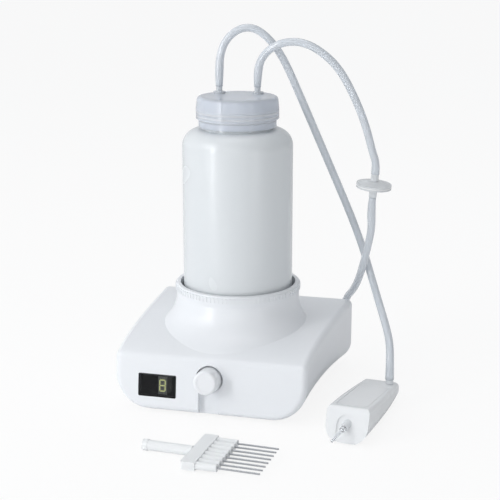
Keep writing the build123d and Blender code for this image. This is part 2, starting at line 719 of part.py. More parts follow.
# Hose inside the base, from the pump head to the port
inner_route = [
    (PUMP_X + HEAD_PORT_SPREAD, HEAD_BACK + STEM_HEIGHT, PUMP_Z),
    (PUMP_X + HEAD_PORT_SPREAD, HEAD_BACK + STEM_HEIGHT + 11, PUMP_Z),
    (PUMP_X + 17, HEAD_BACK + STEM_HEIGHT + 18, PUMP_Z - 1),
    (PUMP_X + 38, HEAD_BACK + STEM_HEIGHT + 10, PUMP_Z),
    (PUMP_X + 58, REAR_Y - 38, PUMP_Z + 3),
    (PORT_X - 4, REAR_Y - 30, PORT_Z - 2),
    (PORT_X, REAR_Y - 19, PORT_Z),
    (PORT_X, REAR_Y - WALL - STEM_HEIGHT, PORT_Z),
]
keep(hose(inner_route, PUMP_HOSE, "pump_hose"), "pump_hose")

with BuildPart() as power_jack:
    with BuildSketch(Plane.XZ.offset(-REAR_Y - JACK_LIP)):
        with Locations((JACK_X, JACK_Z)):
            Circle(JACK_RADIUS + JACK_FLANGE)
    extrude(amount=JACK_LIP)
    with BuildSketch(Plane.XZ.offset(-REAR_Y)):
        with Locations((JACK_X, JACK_Z)):
            Circle(JACK_RADIUS)
    extrude(amount=JACK_DEPTH)
    with BuildSketch(Plane.XZ.offset(-REAR_Y - JACK_LIP)):
        with Locations((JACK_X, JACK_Z)):
            Circle(JACK_BORE)
            Circle(JACK_PIN, mode=Mode.SUBTRACT)
    extrude(amount=JACK_DEPTH - JACK_BACK, mode=Mode.SUBTRACT)
keep(power_jack.part, "power_jack")

with BuildPart() as exhaust_silencer:
    with BuildSketch(Plane.XZ.offset(-REAR_Y - EXHAUST_OUT)):
        with Locations((EXHAUST_X, JACK_Z)):
            Circle(EXHAUST_RADIUS)
    extrude(amount=EXHAUST_OUT + WALL)
    fillet(exhaust_silencer.edges().filter_by(GeomType.CIRCLE).sort_by(Axis.Y)[-1], EXHAUST_ROUND)
keep(exhaust_silencer.part, "exhaust_silencer")

# Waste bottle: a turned wall with a domed base, a round shoulder and a straight neck
BOTTLE_BASE = SEAT_Z + PAD_THICK + SEAT_GAP
NECK_BASE = SHOULDER_Z + SHOULDER_ROUND
NECK_TOP = CAP_TOP - CAP_WALL - SEAL_THICK
with BuildPart() as bottle:
    with BuildSketch(Plane.XZ):
        with BuildLine():
            Line((0, BOTTLE_BASE + BOTTLE_DOME), (PAD_BORE, BOTTLE_BASE + 0.6))
            Line((PAD_BORE, BOTTLE_BASE + 0.6), (PAD_BORE + 2, BOTTLE_BASE))
            Line((PAD_BORE + 2, BOTTLE_BASE), (BOTTLE_RADIUS - BOTTLE_HEEL, BOTTLE_BASE))
            RadiusArc(
                (BOTTLE_RADIUS - BOTTLE_HEEL, BOTTLE_BASE),
                (BOTTLE_RADIUS, BOTTLE_BASE + BOTTLE_HEEL),
                -BOTTLE_HEEL,
            )
            Line((BOTTLE_RADIUS, BOTTLE_BASE + BOTTLE_HEEL), (BOTTLE_RADIUS, SHOULDER_Z))
            RadiusArc(
                (BOTTLE_RADIUS, SHOULDER_Z),
                (BOTTLE_RADIUS - SHOULDER_ROUND, NECK_BASE),
                -SHOULDER_ROUND,
            )
            Line((BOTTLE_RADIUS - SHOULDER_ROUND, NECK_BASE), (NECK_RADIUS, NECK_BASE))
            Line((NECK_RADIUS, NECK_BASE), (NECK_RADIUS, NECK_TOP))
            Line((NECK_RADIUS, NECK_TOP), (0, NECK_TOP))
            Line((0, NECK_TOP), (0, BOTTLE_BASE + BOTTLE_DOME))
        make_face()
    revolve(axis=Axis.Z)
    with BuildSketch(Plane.XZ):
        inner = BOTTLE_RADIUS - BOTTLE_WALL
        inner_round = SHOULDER_ROUND - BOTTLE_WALL
        neck_bore = NECK_RADIUS - NECK_WALL
        floor_z = BOTTLE_BASE + BOTTLE_DOME + BOTTLE_WALL
        with BuildLine():
            Polyline(
                (0, NECK_TOP),
                (0, floor_z),
                (inner - BOTTLE_HEEL, floor_z),
                (inner, floor_z + BOTTLE_HEEL),
                (inner, SHOULDER_Z),
            )
            RadiusArc((inner, SHOULDER_Z), (inner - inner_round, SHOULDER_Z + inner_round), -inner_round)
            Polyline(
                (inner - inner_round, SHOULDER_Z + inner_round),
                (neck_bore, SHOULDER_Z + inner_round),
                (neck_bore, NECK_TOP),
                (0, NECK_TOP),
            )
        make_face()
    revolve(axis=Axis.Z, mode=Mode.SUBTRACT)
keep(bottle.part, "bottle")

# Screw cap: tapered crown, stepped skirt, two ports
with BuildPart() as bottle_cap:
    with BuildSketch(Plane.XZ):
        with BuildLine():
            Polyline(
                (0, CAP_BOTTOM),
                (CAP_SKIRT_RADIUS, CAP_BOTTOM),
                (CAP_SKIRT_RADIUS, CAP_BOTTOM + CAP_SKIRT - CAP_STEP),
                (CAP_RADIUS, CAP_BOTTOM + CAP_SKIRT),
                (CAP_RADIUS, CAP_BOTTOM + CAP_SKIRT + CAP_STRAIGHT),
                (CAP_TOP_RADIUS, CAP_TOP),
                (0, CAP_TOP),
                close=True,
            )
        make_face()
    revolve(axis=Axis.Z)
    fillet(bottle_cap.edges().filter_by(GeomType.CIRCLE).sort_by(Axis.Z)[-1], CAP_ROUND)
    with BuildSketch(Plane.XY.offset(CAP_BOTTOM)):
        Circle(NECK_RADIUS + SLIP)
    extrude(amount=CAP_TOP - CAP_WALL - CAP_BOTTOM, mode=Mode.SUBTRACT)
    with BuildSketch(Plane.XY.offset(CAP_BOTTOM)):
        with Locations((INLET_X, INLET_Y), (OUTLET_X, OUTLET_Y)):
            Circle(STEM_RADIUS)
    extrude(amount=CAP_TOP - CAP_BOTTOM, mode=Mode.SUBTRACT)
keep(bottle_cap.part, "bottle_cap")

with BuildPart() as cap_seal:
    with BuildSketch(Plane.XY.offset(NECK_TOP)):
        Circle(NECK_RADIUS)
        Circle(NECK_RADIUS - NECK_WALL - 1, mode=Mode.SUBTRACT)
    extrude(amount=SEAL_THICK)
keep(cap_seal.part, "cap_seal")


def port_stem(x, y, tail):
    """A hose stem through the cap, with a flange on the crown and a tail into the bottle."""
    with BuildPart() as stem:
        with BuildSketch(Plane.XY.offset(CAP_TOP - CAP_WALL - tail)):
            with Locations((x, y)):
                Circle(STEM_RADIUS)
        extrude(amount=CAP_WALL + tail + FLANGE_THICK + STEM_HEIGHT)
        with BuildSketch(Plane.XY.offset(CAP_TOP)):
            with Locations((x, y)):
                Circle(FLANGE_RADIUS)
        extrude(amount=FLANGE_THICK)
        with BuildSketch(Plane.XY.offset(CAP_TOP - CAP_WALL - tail)):
            with Locations((x, y)):
                Circle(STEM_BORE)
        extrude(amount=CAP_WALL + tail + FLANGE_THICK + STEM_HEIGHT, mode=Mode.SUBTRACT)
    return stem.part


keep(port_stem(INLET_X, INLET_Y, STEM_TAIL), "inlet_stem")
keep(port_stem(OUTLET_X, OUTLET_Y, STEM_TAIL), "outlet_stem")

with BuildPart() as dip_tube:
    with BuildSketch(Plane.XY.offset(CAP_TOP - CAP_WALL - STEM_TAIL - DIP_LENGTH)):
        with Locations((INLET_X, INLET_Y)):
            Circle(STEM_RADIUS + DIP_WALL)
            Circle(STEM_BORE, mode=Mode.SUBTRACT)
    extrude(amount=DIP_LENGTH)
keep(dip_tube.part, "dip_tube")

# In-line filter: two hubbed halves clamped on a membrane
FILTER = Plane(origin=(FILTER_X, FILTER_Y, FILTER_Z), z_dir=(FILTER_LEAN, -FILTER_LEAN / 2, 1))


def filter_half(side):
    """One half of the filter, from the membrane outwards; side is 1 above and -1 below."""
    start = side * MEMBRANE_THICK / 2
    with BuildPart() as half:
        with BuildSketch(FILTER.offset(start)):
            Circle(FILTER_RADIUS)
        extrude(amount=side * FILTER_RIM)
        with BuildSketch(FILTER.offset(start + side * FILTER_RIM)):
            Circle(FILTER_RADIUS - FILTER_STEP)
        with BuildSketch(FILTER.offset(start + side * FILTER_HALF)):
            Circle(FILTER_HUB_RADIUS)
        loft()
        with BuildSketch(FILTER.offset(start + side * FILTER_HALF)):
            Circle(HOSE_DIAMETER / 2)
        extrude(amount=side * FILTER_HUB)
        with BuildSketch(FILTER.offset(start)):
            Circle(STEM_BORE)
        extrude(amount=side * (FILTER_HALF + FILTER_HUB), mode=Mode.SUBTRACT)
    return half.part


keep(filter_half(1), "filter_upper")
keep(filter_half(-1), "filter_lower")
with BuildPart() as filter_membrane:
    with BuildSketch(FILTER.offset(-MEMBRANE_THICK / 2)):
        Circle(FILTER_RADIUS)
    extrude(amount=MEMBRANE_THICK)
keep(filter_membrane.part, "filter_membrane")

# Hoses: the suction hose runs from the cap's left port, over and behind the other, to the hand operator
HOSE_START = CAP_TOP + FLANGE_THICK + STEM_HEIGHT
hand_inlet = (HAND * Location((INLET_AT, INLET_SIDE, INLET_TOP + SEAT_GAP))).position
suction_route = [
    (INLET_X, INLET_Y, HOSE_START),
    (INLET_X, INLET_Y, HOSE_START + 12),
    (-18.6, 14, 274),
    (-14.5, 16, 286.5),
    (-4, 18, 296),
    (8.5, 21, 297),
    (20.5, 24, 288),
    (32, 26.5, 272),
    (44, 29, 245),
    (56.5, 33, 215),
    (72.5, 39, 176),
    (87.5, 48, 137),
    (97.5, 53, 108),
    (107.5, 45, 82),
    (118.5, 24, 63.5),
    (127, 2, 53.5),
    (132, -15, 46.5),
    (hand_inlet.X, hand_inlet.Y, 35.5),
    tuple(hand_inlet),
]
keep(hose(suction_route, HOSE_DIAMETER, "suction_hose"), "suction_hose")

FILTER_END = MEMBRANE_THICK / 2 + FILTER_HALF + FILTER_HUB
filter_top = FILTER.from_local_coords((0, 0, FILTER_END))
filter_low = FILTER.from_local_coords((0, 0, -FILTER_END))
upper_route = [
    (OUTLET_X, OUTLET_Y, HOSE_START),
    (OUTLET_X, OUTLET_Y, HOSE_START + 11.5),
    (15.5, 15.5, 272),
    (24.5, 13, 281.5),
    (37.5, 12, 287),
    (52.5, 12, 286.5),
    (67, 13, 279),
    (80.5, 16, 266),
    (92.5, 19, 244),
    (102, 23, 219.5),
    (107.3, 27.5, 197),
    tuple(FILTER.from_local_coords((0, 0, FILTER_END + 9))),
    tuple(filter_top),
]
keep(hose(upper_route, HOSE_DIAMETER, "vacuum_hose_upper"), "vacuum_hose_upper")

lower_route = [
    tuple(filter_low),
    tuple(FILTER.from_local_coords((0, 0, -FILTER_END - 12))),
    (107.6, 32, 132),
    (104.5, 33.5, 116),
    (99.5, 39, 96),
    (94, 50, 80),
    (88, 63, 68),
    (81.5, 74.5, 59),
    (PORT_X, PORT_Y, PORT_Z + PORT_RISE + 10),
    (PORT_X, PORT_Y, PORT_Z + PORT_RISE + SEAT_GAP),
]
keep(hose(lower_route, HOSE_DIAMETER, "vacuum_hose_lower"), "vacuum_hose_lower")


def hand_form(inset):
    """The hand operator's outer form, drawn in by the same inset on every side."""
    sections = [
        (0, 16.2, 1.0, 12.0),
        (30, 17.3, 0.0, 13.0),
        (72, 16.6, 0.8, 9.0),
        (HAND_LENGTH, 15.0, 3.0, 5.5),
    ]
    with BuildPart() as form:
        for x, half, low, corner in sections:
            with BuildSketch(Plane.YZ.offset(x)) as section:
                with BuildLine():
                    Polyline(
                        (inset - half, HAND_LENGTH),
                        (inset - half, low + inset),
                        (half - inset, low + inset),
                        (half - inset, HAND_LENGTH),
                        close=True,
                    )
                make_face()
                fillet(section.vertices().group_by(Axis.Y)[0], corner - inset)
        loft()
        with BuildSketch(Plane.XZ):
            with BuildLine():
                Polyline(
                    (inset, 0),
                    (HAND_FRONT_LEAN + inset, HAND_FRONT_TOP - inset),
                    (HAND_LENGTH - inset, HAND_REAR_TOP - inset),
                    (HAND_LENGTH - inset, 0),
                    close=True,
                )
            make_face()
        extrude(amount=HAND_LENGTH, both=True, mode=Mode.INTERSECT)
    return form


def lever_outline(gap, front_gap):
    """The lever's plan outline, or with gaps the opening that it moves in."""
    start, end = LEVER_START - front_gap, LEVER_END + gap
    with BuildSketch(Plane.XY.offset(HAND_REAR_TOP / 2)) as outline:
        with Locations(((start + end) / 2, 0)):
            RectangleRounded(end - start, 2 * (LEVER_HALF + gap), LEVER_CORNER + gap)
    return outline.sketch


TIP_LINE = Vector(
    -cos(radians(TIP_TURN)) * cos(radians(TIP_DIP)),
    sin(radians(TIP_TURN)) * cos(radians(TIP_DIP)),
    -sin(radians(TIP_DIP)),
)
TIP = Plane(origin=(NOZZLE_X, NOZZLE_Y, NOZZLE_Z), z_dir=TIP_LINE)

# Hand operator shell, open at the top for its lever
with BuildPart() as hand_shell:
    add(hand_form(0).part)
    hand_edges = hand_shell.edges().filter_by(
        lambda e: e.center().Z > HAND_REAR_TOP - 5 and e.length > 20 and e.center().X < HAND_LENGTH - 1
    )
    fillet(hand_edges, HAND_ROUND)
    add(hand_form(HAND_WALL).part, mode=Mode.SUBTRACT)
    add(
        extrude(lever_outline(LEVER_GAP, LEVER_FRONT_GAP), amount=HAND_LENGTH, mode=Mode.PRIVATE),
        mode=Mode.SUBTRACT,
    )
    # Bosses on the side walls for the lever's pin
    for side in (1, -1):
        with BuildSketch(Plane.XZ.offset(-side * BOSS_START)):
            with Locations((PIVOT_X, PIVOT_Z)):
                Circle(LUG_RADIUS)
        extrude(amount=-side * BOSS_DEPTH)
    with BuildSketch(Plane.XZ.offset(BOSS_START + BOSS_BITE)):
        with Locations((PIVOT_X, PIVOT_Z)):
            Circle(PIN_RADIUS)
    extrude(amount=-2 * (BOSS_START + BOSS_BITE), mode=Mode.SUBTRACT)
    # Arched recess in the front, and the holes for the nozzle and the hose inlet
    with BuildSketch(Plane.YZ):
        with Locations((NOZZLE_Y, 0)):
            Rectangle(ARCH_WIDTH, 2 * NOZZLE_Z)
        with Locations((NOZZLE_Y, NOZZLE_Z)):
            Circle(ARCH_WIDTH / 2)
    arch = extrude(amount=HAND_LENGTH / 4, mode=Mode.PRIVATE)
    front_skin = arch - hand_form(0).part.moved(Location((ARCH_DEPTH, 0, 0)))
    add(front_skin, mode=Mode.SUBTRACT)
    with BuildSketch(TIP.offset(-2 * NOZZLE_IN)):
        Circle(NOZZLE_RADIUS + RUNNING)
    extrude(amount=4 * NOZZLE_IN, mode=Mode.SUBTRACT)
    with BuildSketch(Plane.XY.offset(HAND_REAR_TOP / 2)):
        with Locations((INLET_AT, INLET_SIDE)):
            Circle(STEM_RADIUS + RUNNING)
    extrude(amount=HAND_LENGTH, mode=Mode.SUBTRACT)
keep(hand_shell.part, "hand_shell", HAND)

# Lever: the middle of the operator's top, hinged near its rear end
with BuildPart() as hand_lever:
    add(hand_form(0).part)
    add(extrude(lever_outline(0, 0), amount=HAND_LENGTH, mode=Mode.PRIVATE), mode=Mode.INTERSECT)
    add(hand_form(LEVER_THICK).part, mode=Mode.SUBTRACT)
    lug_top = HAND_REAR_TOP + 1.5
    for side in (1, -1):
        with BuildSketch(Plane.XZ.offset(-side * (BOSS_START - 0.5))):
            with Locations((PIVOT_X, PIVOT_Z)):
                Circle(LUG_RADIUS)
            with Locations((PIVOT_X, (PIVOT_Z + lug_top) / 2)):
                Rectangle(2 * LUG_RADIUS, lug_top - PIVOT_Z)
        extrude(amount=side * LUG_WIDTH)
    with BuildSketch(Plane.XZ.offset(BOSS_START)):
        with Locations((PIVOT_X, PIVOT_Z)):
            Circle(PIN_RADIUS + RUNNING)
    extrude(amount=-2 * BOSS_START, mode=Mode.SUBTRACT)
    # Pinch bar, which reaches down to the hose
    bar_low = PINCH_Z + PINCH_HOSE / 2 + PINCH_GAP
    with BuildSketch(Plane.XY.offset(bar_low)):
        with Locations((PINCH_BAR, 0)):
            Rectangle(PINCH_BAR_THICK, 2 * (LEVER_HALF - LEVER_CORNER))
    extrude(amount=HAND_FRONT_TOP - LEVER_THICK - bar_low - 1.5)
keep(hand_lever.part, "hand_lever", HAND)

with BuildPart() as lever_pin:
    with BuildSketch(Plane.XZ.offset(BOSS_START + 2)):
        with Locations((PIVOT_X, PIVOT_Z)):
            Circle(PIN_RADIUS)
    extrude(amount=-2 * (BOSS_START + 2))
keep(lever_pin.part, "lever_pin", HAND)

# Torsion spring round the pin: its coil, one leg on the floor and one below the lever
with BuildPart() as lever_spring:
    with BuildSketch(Plane.XZ.offset(-SPRING_WIDTH / 2)):
        with Locations((PIVOT_X, PIVOT_Z)):
            Circle(PIN_RADIUS + SPRING_GAP + SPRING_WIRE + 0.2)
            Circle(PIN_RADIUS + SPRING_GAP, mode=Mode.SUBTRACT)
        with Locations((PIVOT_X + PIN_RADIUS + 0.9, PIVOT_Z - 4.5)):
            Rectangle(SPRING_WIRE, SPRING_LEG)
        with Locations((PIVOT_X - SPRING_ARM / 2, PIVOT_Z + PIN_RADIUS + 0.9)):
            Rectangle(SPRING_ARM, SPRING_WIRE)
    extrude(amount=SPRING_WIDTH)
keep(lever_spring.part, "lever_spring", HAND)

with BuildPart() as hand_inlet_elbow:
    with BuildSketch(Plane.XY.offset(ELBOW_Z)):
        with Locations((INLET_AT, INLET_SIDE)):
            Circle(STEM_RADIUS)
    extrude(amount=INLET_TOP - ELBOW_Z)
    with BuildSketch(Plane.XY.offset(HAND_REAR_TOP + 1.9)):
        with Locations((INLET_AT, INLET_SIDE)):
            Circle(HOSE_DIAMETER / 2)
    extrude(amount=INLET_TOP - HAND_REAR_TOP - 1.9)
    with BuildSketch(Plane.YZ.offset(INLET_AT - 7)):
        with Locations((INLET_SIDE, ELBOW_Z)):
            Circle(PINCH_HOSE / 2)
    extrude(amount=7)
keep(hand_inlet_elbow.part, "hand_inlet", HAND)

with BuildPart() as hand_nozzle:
    with BuildSketch(TIP.offset(-NOZZLE_IN)):
        Circle(NOZZLE_RADIUS)
        Circle(NOZZLE_BORE, mode=Mode.SUBTRACT)
    extrude(amount=NOZZLE_IN + NOZZLE_OUT)
keep(hand_nozzle.part, "hand_nozzle", HAND)

nozzle_back = TIP.from_local_coords((0, 0, -NOZZLE_IN))
pinch_route = [
    (INLET_AT - 7, INLET_SIDE, ELBOW_Z),
    (INLET_AT - 15, INLET_SIDE, ELBOW_Z),
    (INLET_AT - 25, INLET_SIDE + 1.5, PINCH_Z + 0.4),
    (INLET_AT - 38, INLET_SIDE + 6, PINCH_Z + 0.4),
    (INLET_AT - 58, INLET_SIDE + 8.5, PINCH_Z),
    (INLET_AT - 74, INLET_SIDE + 8, PINCH_Z + 3.6),
    tuple(TIP.from_local_coords((0, 0, -NOZZLE_IN - 6))),
    tuple(nozzle_back),
]
keep(hose(pinch_route, PINCH_HOSE, "pinch_hose"), "pinch_hose", HAND)

# Pull-off aspiration tip on the nozzle's line
with BuildPart() as aspiration_tip:
    with BuildSketch(TIP.offset(NOZZLE_OUT - TIP_SPIGOT)):
        Circle(NOZZLE_BORE - RUNNING)
    extrude(amount=TIP_SPIGOT + SLIP)
    with BuildSketch(TIP.offset(NOZZLE_OUT + SLIP)):
        Circle(TIP_HUB_RADIUS)
    extrude(amount=TIP_HUB)
    with BuildSketch(TIP.offset(NOZZLE_OUT + SLIP + TIP_HUB)):
        Circle(TIP_RADIUS)
    extrude(amount=TIP_LENGTH - TIP_HUB)
    with BuildSketch(TIP.offset(NOZZLE_OUT - TIP_SPIGOT)):
        Circle(TIP_BORE)
    extrude(amount=TIP_SPIGOT + TIP_LENGTH + 1, mode=Mode.SUBTRACT)
keep(aspiration_tip.part, "aspiration_tip", HAND)

# Eight-needle adapter: stem, manifold and a row of sleeves that hold the needles
needle_span = NEEDLE_PITCH * (NEEDLE_COUNT - 1)
with BuildPart() as adapter_body:
    with BuildSketch(Plane.XY.offset(-MANIFOLD_THICK / 2)):
        with Locations((-MANIFOLD_DEPTH / 2, 0)):
            Rectangle(MANIFOLD_DEPTH, needle_span + 2 * MANIFOLD_MARGIN)
    extrude(amount=MANIFOLD_THICK)
    fillet(adapter_body.edges().filter_by(Axis.Z).group_by(Axis.X)[0], MANIFOLD_CORNER)
    with BuildSketch(Plane.YZ.offset(-1)):
        for k in range(NEEDLE_COUNT):
            with Locations((k * NEEDLE_PITCH - needle_span / 2, 0)):
                Circle(SLEEVE_RADIUS)
    extrude(amount=SLEEVE_LENGTH + 1)
    with BuildSketch(Plane.YZ.offset(-MANIFOLD_DEPTH)):
        Circle(STEM_OUTER)
    extrude(amount=-STEM_OUT)
    with BuildSketch(Plane.YZ.offset(-MANIFOLD_DEPTH - STEM_OUT)):
        Circle(STEM_END)
    extrude(amount=STEM_END_LENGTH)
    # Way through: stem bore, cross bore and needle bores
    with BuildSketch(Plane.YZ.offset(-MANIFOLD_DEPTH - STEM_OUT)):
        Circle(STEM_INNER)
    extrude(amount=STEM_OUT + MANIFOLD_DEPTH / 2, mode=Mode.SUBTRACT)
    with BuildSketch(Plane.YZ.offset(SLEEVE_LENGTH - NEEDLE_IN)):
        for k in range(NEEDLE_COUNT):
            with Locations((k * NEEDLE_PITCH - needle_span / 2, 0)):
                Circle(NEEDLE_RADIUS)
    extrude(amount=NEEDLE_IN, mode=Mode.SUBTRACT)
keep(adapter_body.part, "adapter_body", ADAPTER)

with BuildPart() as adapter_needles:
    with BuildSketch(Plane.YZ.offset(SLEEVE_LENGTH - NEEDLE_IN)):
        for k in range(NEEDLE_COUNT):
            with Locations((k * NEEDLE_PITCH - needle_span / 2, 0)):
                Circle(NEEDLE_RADIUS)
                Circle(NEEDLE_RADIUS / 2, mode=Mode.SUBTRACT)
    extrude(amount=NEEDLE_IN + NEEDLE_OUT)
keep(adapter_needles.part, "adapter_needles", ADAPTER)
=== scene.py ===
import bmesh
import bpy
import math
from mathutils import Matrix, Vector


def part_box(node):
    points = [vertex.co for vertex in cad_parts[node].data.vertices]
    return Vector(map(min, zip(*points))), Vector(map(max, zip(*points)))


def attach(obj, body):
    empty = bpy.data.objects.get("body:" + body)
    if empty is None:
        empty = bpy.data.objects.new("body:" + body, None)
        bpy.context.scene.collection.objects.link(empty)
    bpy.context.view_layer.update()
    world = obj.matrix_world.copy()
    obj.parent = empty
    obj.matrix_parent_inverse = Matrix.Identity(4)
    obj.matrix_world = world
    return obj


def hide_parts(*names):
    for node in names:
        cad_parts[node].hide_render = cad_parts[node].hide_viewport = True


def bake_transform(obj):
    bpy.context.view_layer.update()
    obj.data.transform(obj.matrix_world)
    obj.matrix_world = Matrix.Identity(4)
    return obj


# Dressed model of a bench-top vacuum aspirator. Lengths are in metres; the places of routes and of the
# camera are in millimetres from the bottle's axis, and place() moves them to the set's own frame.

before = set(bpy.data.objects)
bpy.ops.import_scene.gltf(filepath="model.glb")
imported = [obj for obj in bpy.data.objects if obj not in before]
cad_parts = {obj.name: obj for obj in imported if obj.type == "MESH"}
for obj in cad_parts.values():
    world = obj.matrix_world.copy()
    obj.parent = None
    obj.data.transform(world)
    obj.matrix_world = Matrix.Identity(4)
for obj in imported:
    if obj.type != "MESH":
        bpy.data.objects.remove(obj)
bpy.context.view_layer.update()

MM = 0.001
bottle_low, bottle_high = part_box("bottle")
AXIS_X = (bottle_low.x + bottle_high.x) / 2
AXIS_Y = (bottle_low.y + bottle_high.y) / 2


def place(x, y, z):
    """A point given in millimetres from the bottle's axis, in the set's frame."""
    return Vector((AXIS_X + x * MM, AXIS_Y + y * MM, z * MM))


# Shaders


class Value:
    """A socket that adds, subtracts, multiplies and divides as a number does."""

    def __init__(self, finish, socket):
        self.finish = finish
        self.socket = socket

    def work(self, operation, first, second):
        return self.finish.node("Math", {"operation": operation}, {0: first, 1: second})

    def __add__(self, other):
        return self.work("ADD", self, other)

    def __radd__(self, other):
        return self.work("ADD", other, self)

    def __sub__(self, other):
        return self.work("SUBTRACT", self, other)

    def __rsub__(self, other):
        return self.work("SUBTRACT", other, self)

    def __mul__(self, other):
        return self.work("MULTIPLY", self, other)

    def __rmul__(self, other):
        return self.work("MULTIPLY", other, self)

    def __truediv__(self, other):
        return self.work("DIVIDE", self, other)

    def __pow__(self, other):
        return self.work("POWER", self, other)


# Places of the two colours among the Mix node's inputs, and of the mixed colour among its outputs
COLOUR_MIX_SOCKETS = (6, 7, 2)


class Finish:
    """A material being written; node() adds any node and hands back one of its outputs."""

    def __init__(self, name):
        self.material = bpy.data.materials.new(name)
        self.material.use_nodes = True
        self.tree = self.material.node_tree
        self.tree.nodes.clear()
        self.spot = self.node("TexCoord", out="Object")

    def node(self, kind, settings=None, inputs=None, out=0):
        made = self.tree.nodes.new("ShaderNode" + kind)
        for key, value in (settings or {}).items():
            if key == "stops":
                ramp = made.color_ramp
                while len(ramp.elements) < len(value):
                    ramp.elements.new(1.0)
                for element, (position, colour) in zip(ramp.elements, value):
                    element.position = position
                    element.color = colour
            else:
                setattr(made, key, value)
        for key, value in (inputs or {}).items():
            if isinstance(value, Value):
                self.tree.links.new(value.socket, made.inputs[key])
            else:
                made.inputs[key].default_value = value
        return Value(self, made.outputs[out])

    def noise(self, scale, detail=2.0, rough=0.5, stretch=None):
        spot = self.spot
        if stretch:
            spot = self.node("Mapping", {}, {"Vector": spot, "Scale": stretch})
        return self.node(
            "TexNoise", {}, {"Vector": spot, "Scale": scale, "Detail": detail, "Roughness": rough}
        )

    def part(self, axis):
        """One coordinate of the point, in metres."""
        return self.node("SeparateXYZ", {}, {"Vector": self.spot}, out=axis)

    def between(self, value, low, high):
        """0 below low, 1 above high and smooth between."""
        return self.node(
            "MapRange", {"interpolation_type": "SMOOTHSTEP"},
            {"Value": value, "From Min": low, "From Max": high, "To Min": 0.0, "To Max": 1.0},
        )

    def tint(self, mask, low, high):
        """A colour between two, by a mask."""
        first, second, result = COLOUR_MIX_SOCKETS
        return self.node(
            "Mix", {"data_type": "RGBA"}, {"Factor": mask, first: rgba(low), second: rgba(high)},
            out=result,
        )

    def bump(self, height, depth, strength=1.0):
        return self.node(
            "Bump", {}, {"Height": height, "Distance": depth, "Strength": strength}
        )

    def surface(self, **words):
        """The main shader; words are its sockets with _ for a space."""
        sockets = {key.replace("_", " "): value for key, value in words.items()}
        return self.node("BsdfPrincipled", {}, sockets)

    def done(self, shader):
        """Joins the shader to the material's output, which has no socket of its own to hand back."""
        output = self.tree.nodes.new("ShaderNodeOutputMaterial")
        self.tree.links.new(shader.socket, output.inputs["Surface"])
        return self.material


def rgba(colour):
    return (*colour, 1.0)


# Noise scales, per metre: broad clouds in a moulding's colour, and the grain of its skin
CLOUD_SCALE = 14.0
SKIN_SCALE = 900.0


def moulded(name, colour, rough=0.28, grain=0.00002, coat=0.25, shade=0.97, **more):
    """Moulded plastic: a faint cloud in its colour, an uneven gloss and a fine skin."""
    f = Finish(name)
    cloud = f.noise(CLOUD_SCALE, 3.0)
    skin = f.noise(SKIN_SCALE, 2.0)
    base = f.tint(cloud, [c * shade for c in colour], colour)
    gloss = rough - 0.04 + 0.08 * f.noise(45.0, 4.0)
    normal = f.bump(skin, grain)
    return f.done(
        f.surface(
            Base_Color=base, Roughness=gloss, Normal=normal, Coat_Weight=coat,
            Coat_Roughness=0.12, IOR=1.46, **more,
        )
    )


def clear_plastic(name, colour, rough, through, bend=1.42, coat=0.3):
    """See-through or milky plastic, with slow flow marks of the moulding in its colour and gloss."""
    f = Finish(name)
    flow = f.noise(30.0, 2.0, stretch=(1.0, 1.0, 0.25))
    base = f.tint(flow, [c * 0.975 for c in colour], colour)
    gloss = rough - 0.02 + 0.05 * flow
    return f.done(
        f.surface(
            Base_Color=base, Roughness=gloss, Transmission_Weight=through, IOR=bend,
            Coat_Weight=coat, Coat_Roughness=0.1,
        )
    )


# Heights between which the cap's thread shows, its pitch, and how far it fades at both ends
CAP_THREADS = (0.2235, 0.2335)
THREAD_PITCH = 0.0032
THREAD_FADE = 0.001


def threaded_cap():
    """Bluish milky cap: its screw thread shows faintly through the lower half of its wall."""
    f = Finish("cap_clear")
    flow = f.noise(30.0, 2.0)
    height = f.part(2)
    angle = (2 * math.pi / THREAD_PITCH) * height
    turns = 0.5 + 0.5 * f.node("Math", {"operation": "SINE"}, {0: angle})
    low, high = CAP_THREADS
    above = f.between(height, low - THREAD_FADE, low + THREAD_FADE)
    band = above * (1 - f.between(height, high - THREAD_FADE, high + THREAD_FADE))
    shade = 0.25 * flow + 0.75 * turns * band
    base = f.tint(shade, (0.78, 0.83, 0.91), (0.92, 0.94, 0.975))
    return f.done(
        f.surface(
            Base_Color=base, Roughness=0.2 + 0.08 * flow, Normal=f.bump(turns * band, 0.0006, 1.0),
            Transmission_Weight=0.38, IOR=1.3, Coat_Weight=0.4, Coat_Roughness=0.12,
        )
    )


def milky_bottle():
    """Blow-moulded bottle wall: milky, a little uneven, with faint upright flow streaks."""
    f = Finish("bottle_milky")
    streaks = f.noise(55.0, 3.0, stretch=(1.0, 1.0, 0.06))
    cloud = f.noise(9.0, 2.0)
    base = f.tint(0.6 * streaks + 0.4 * cloud, (0.69, 0.725, 0.745), (0.75, 0.775, 0.79))
    return f.done(
        f.surface(
            Base_Color=base, Roughness=0.24 + 0.06 * cloud, Normal=f.bump(streaks, 0.00012, 0.5),
            IOR=1.54, Coat_Weight=0.45, Coat_Roughness=0.22,
        )
    )


def metal(name, colour, rough, stretch=(1.0, 1.0, 1.0), scale=300.0):
    """Drawn or turned metal with fine lines."""
    f = Finish(name)
    lines = f.noise(scale, 3.0, stretch=stretch)
    base = f.tint(lines, [c * 0.86 for c in colour], colour)
    return f.done(
        f.surface(
            Base_Color=base, Metallic=1.0, Roughness=rough + 0.15 * lines,
            Normal=f.bump(lines, 0.00003),
        )
    )


def rubber(name, colour):
    f = Finish(name)
    pores = f.noise(700.0, 3.0)
    base = f.tint(pores, [c * 0.7 for c in colour], colour)
    return f.done(
        f.surface(Base_Color=base, Roughness=0.7 + 0.15 * pores, Normal=f.bump(pores, 0.0001))
    )


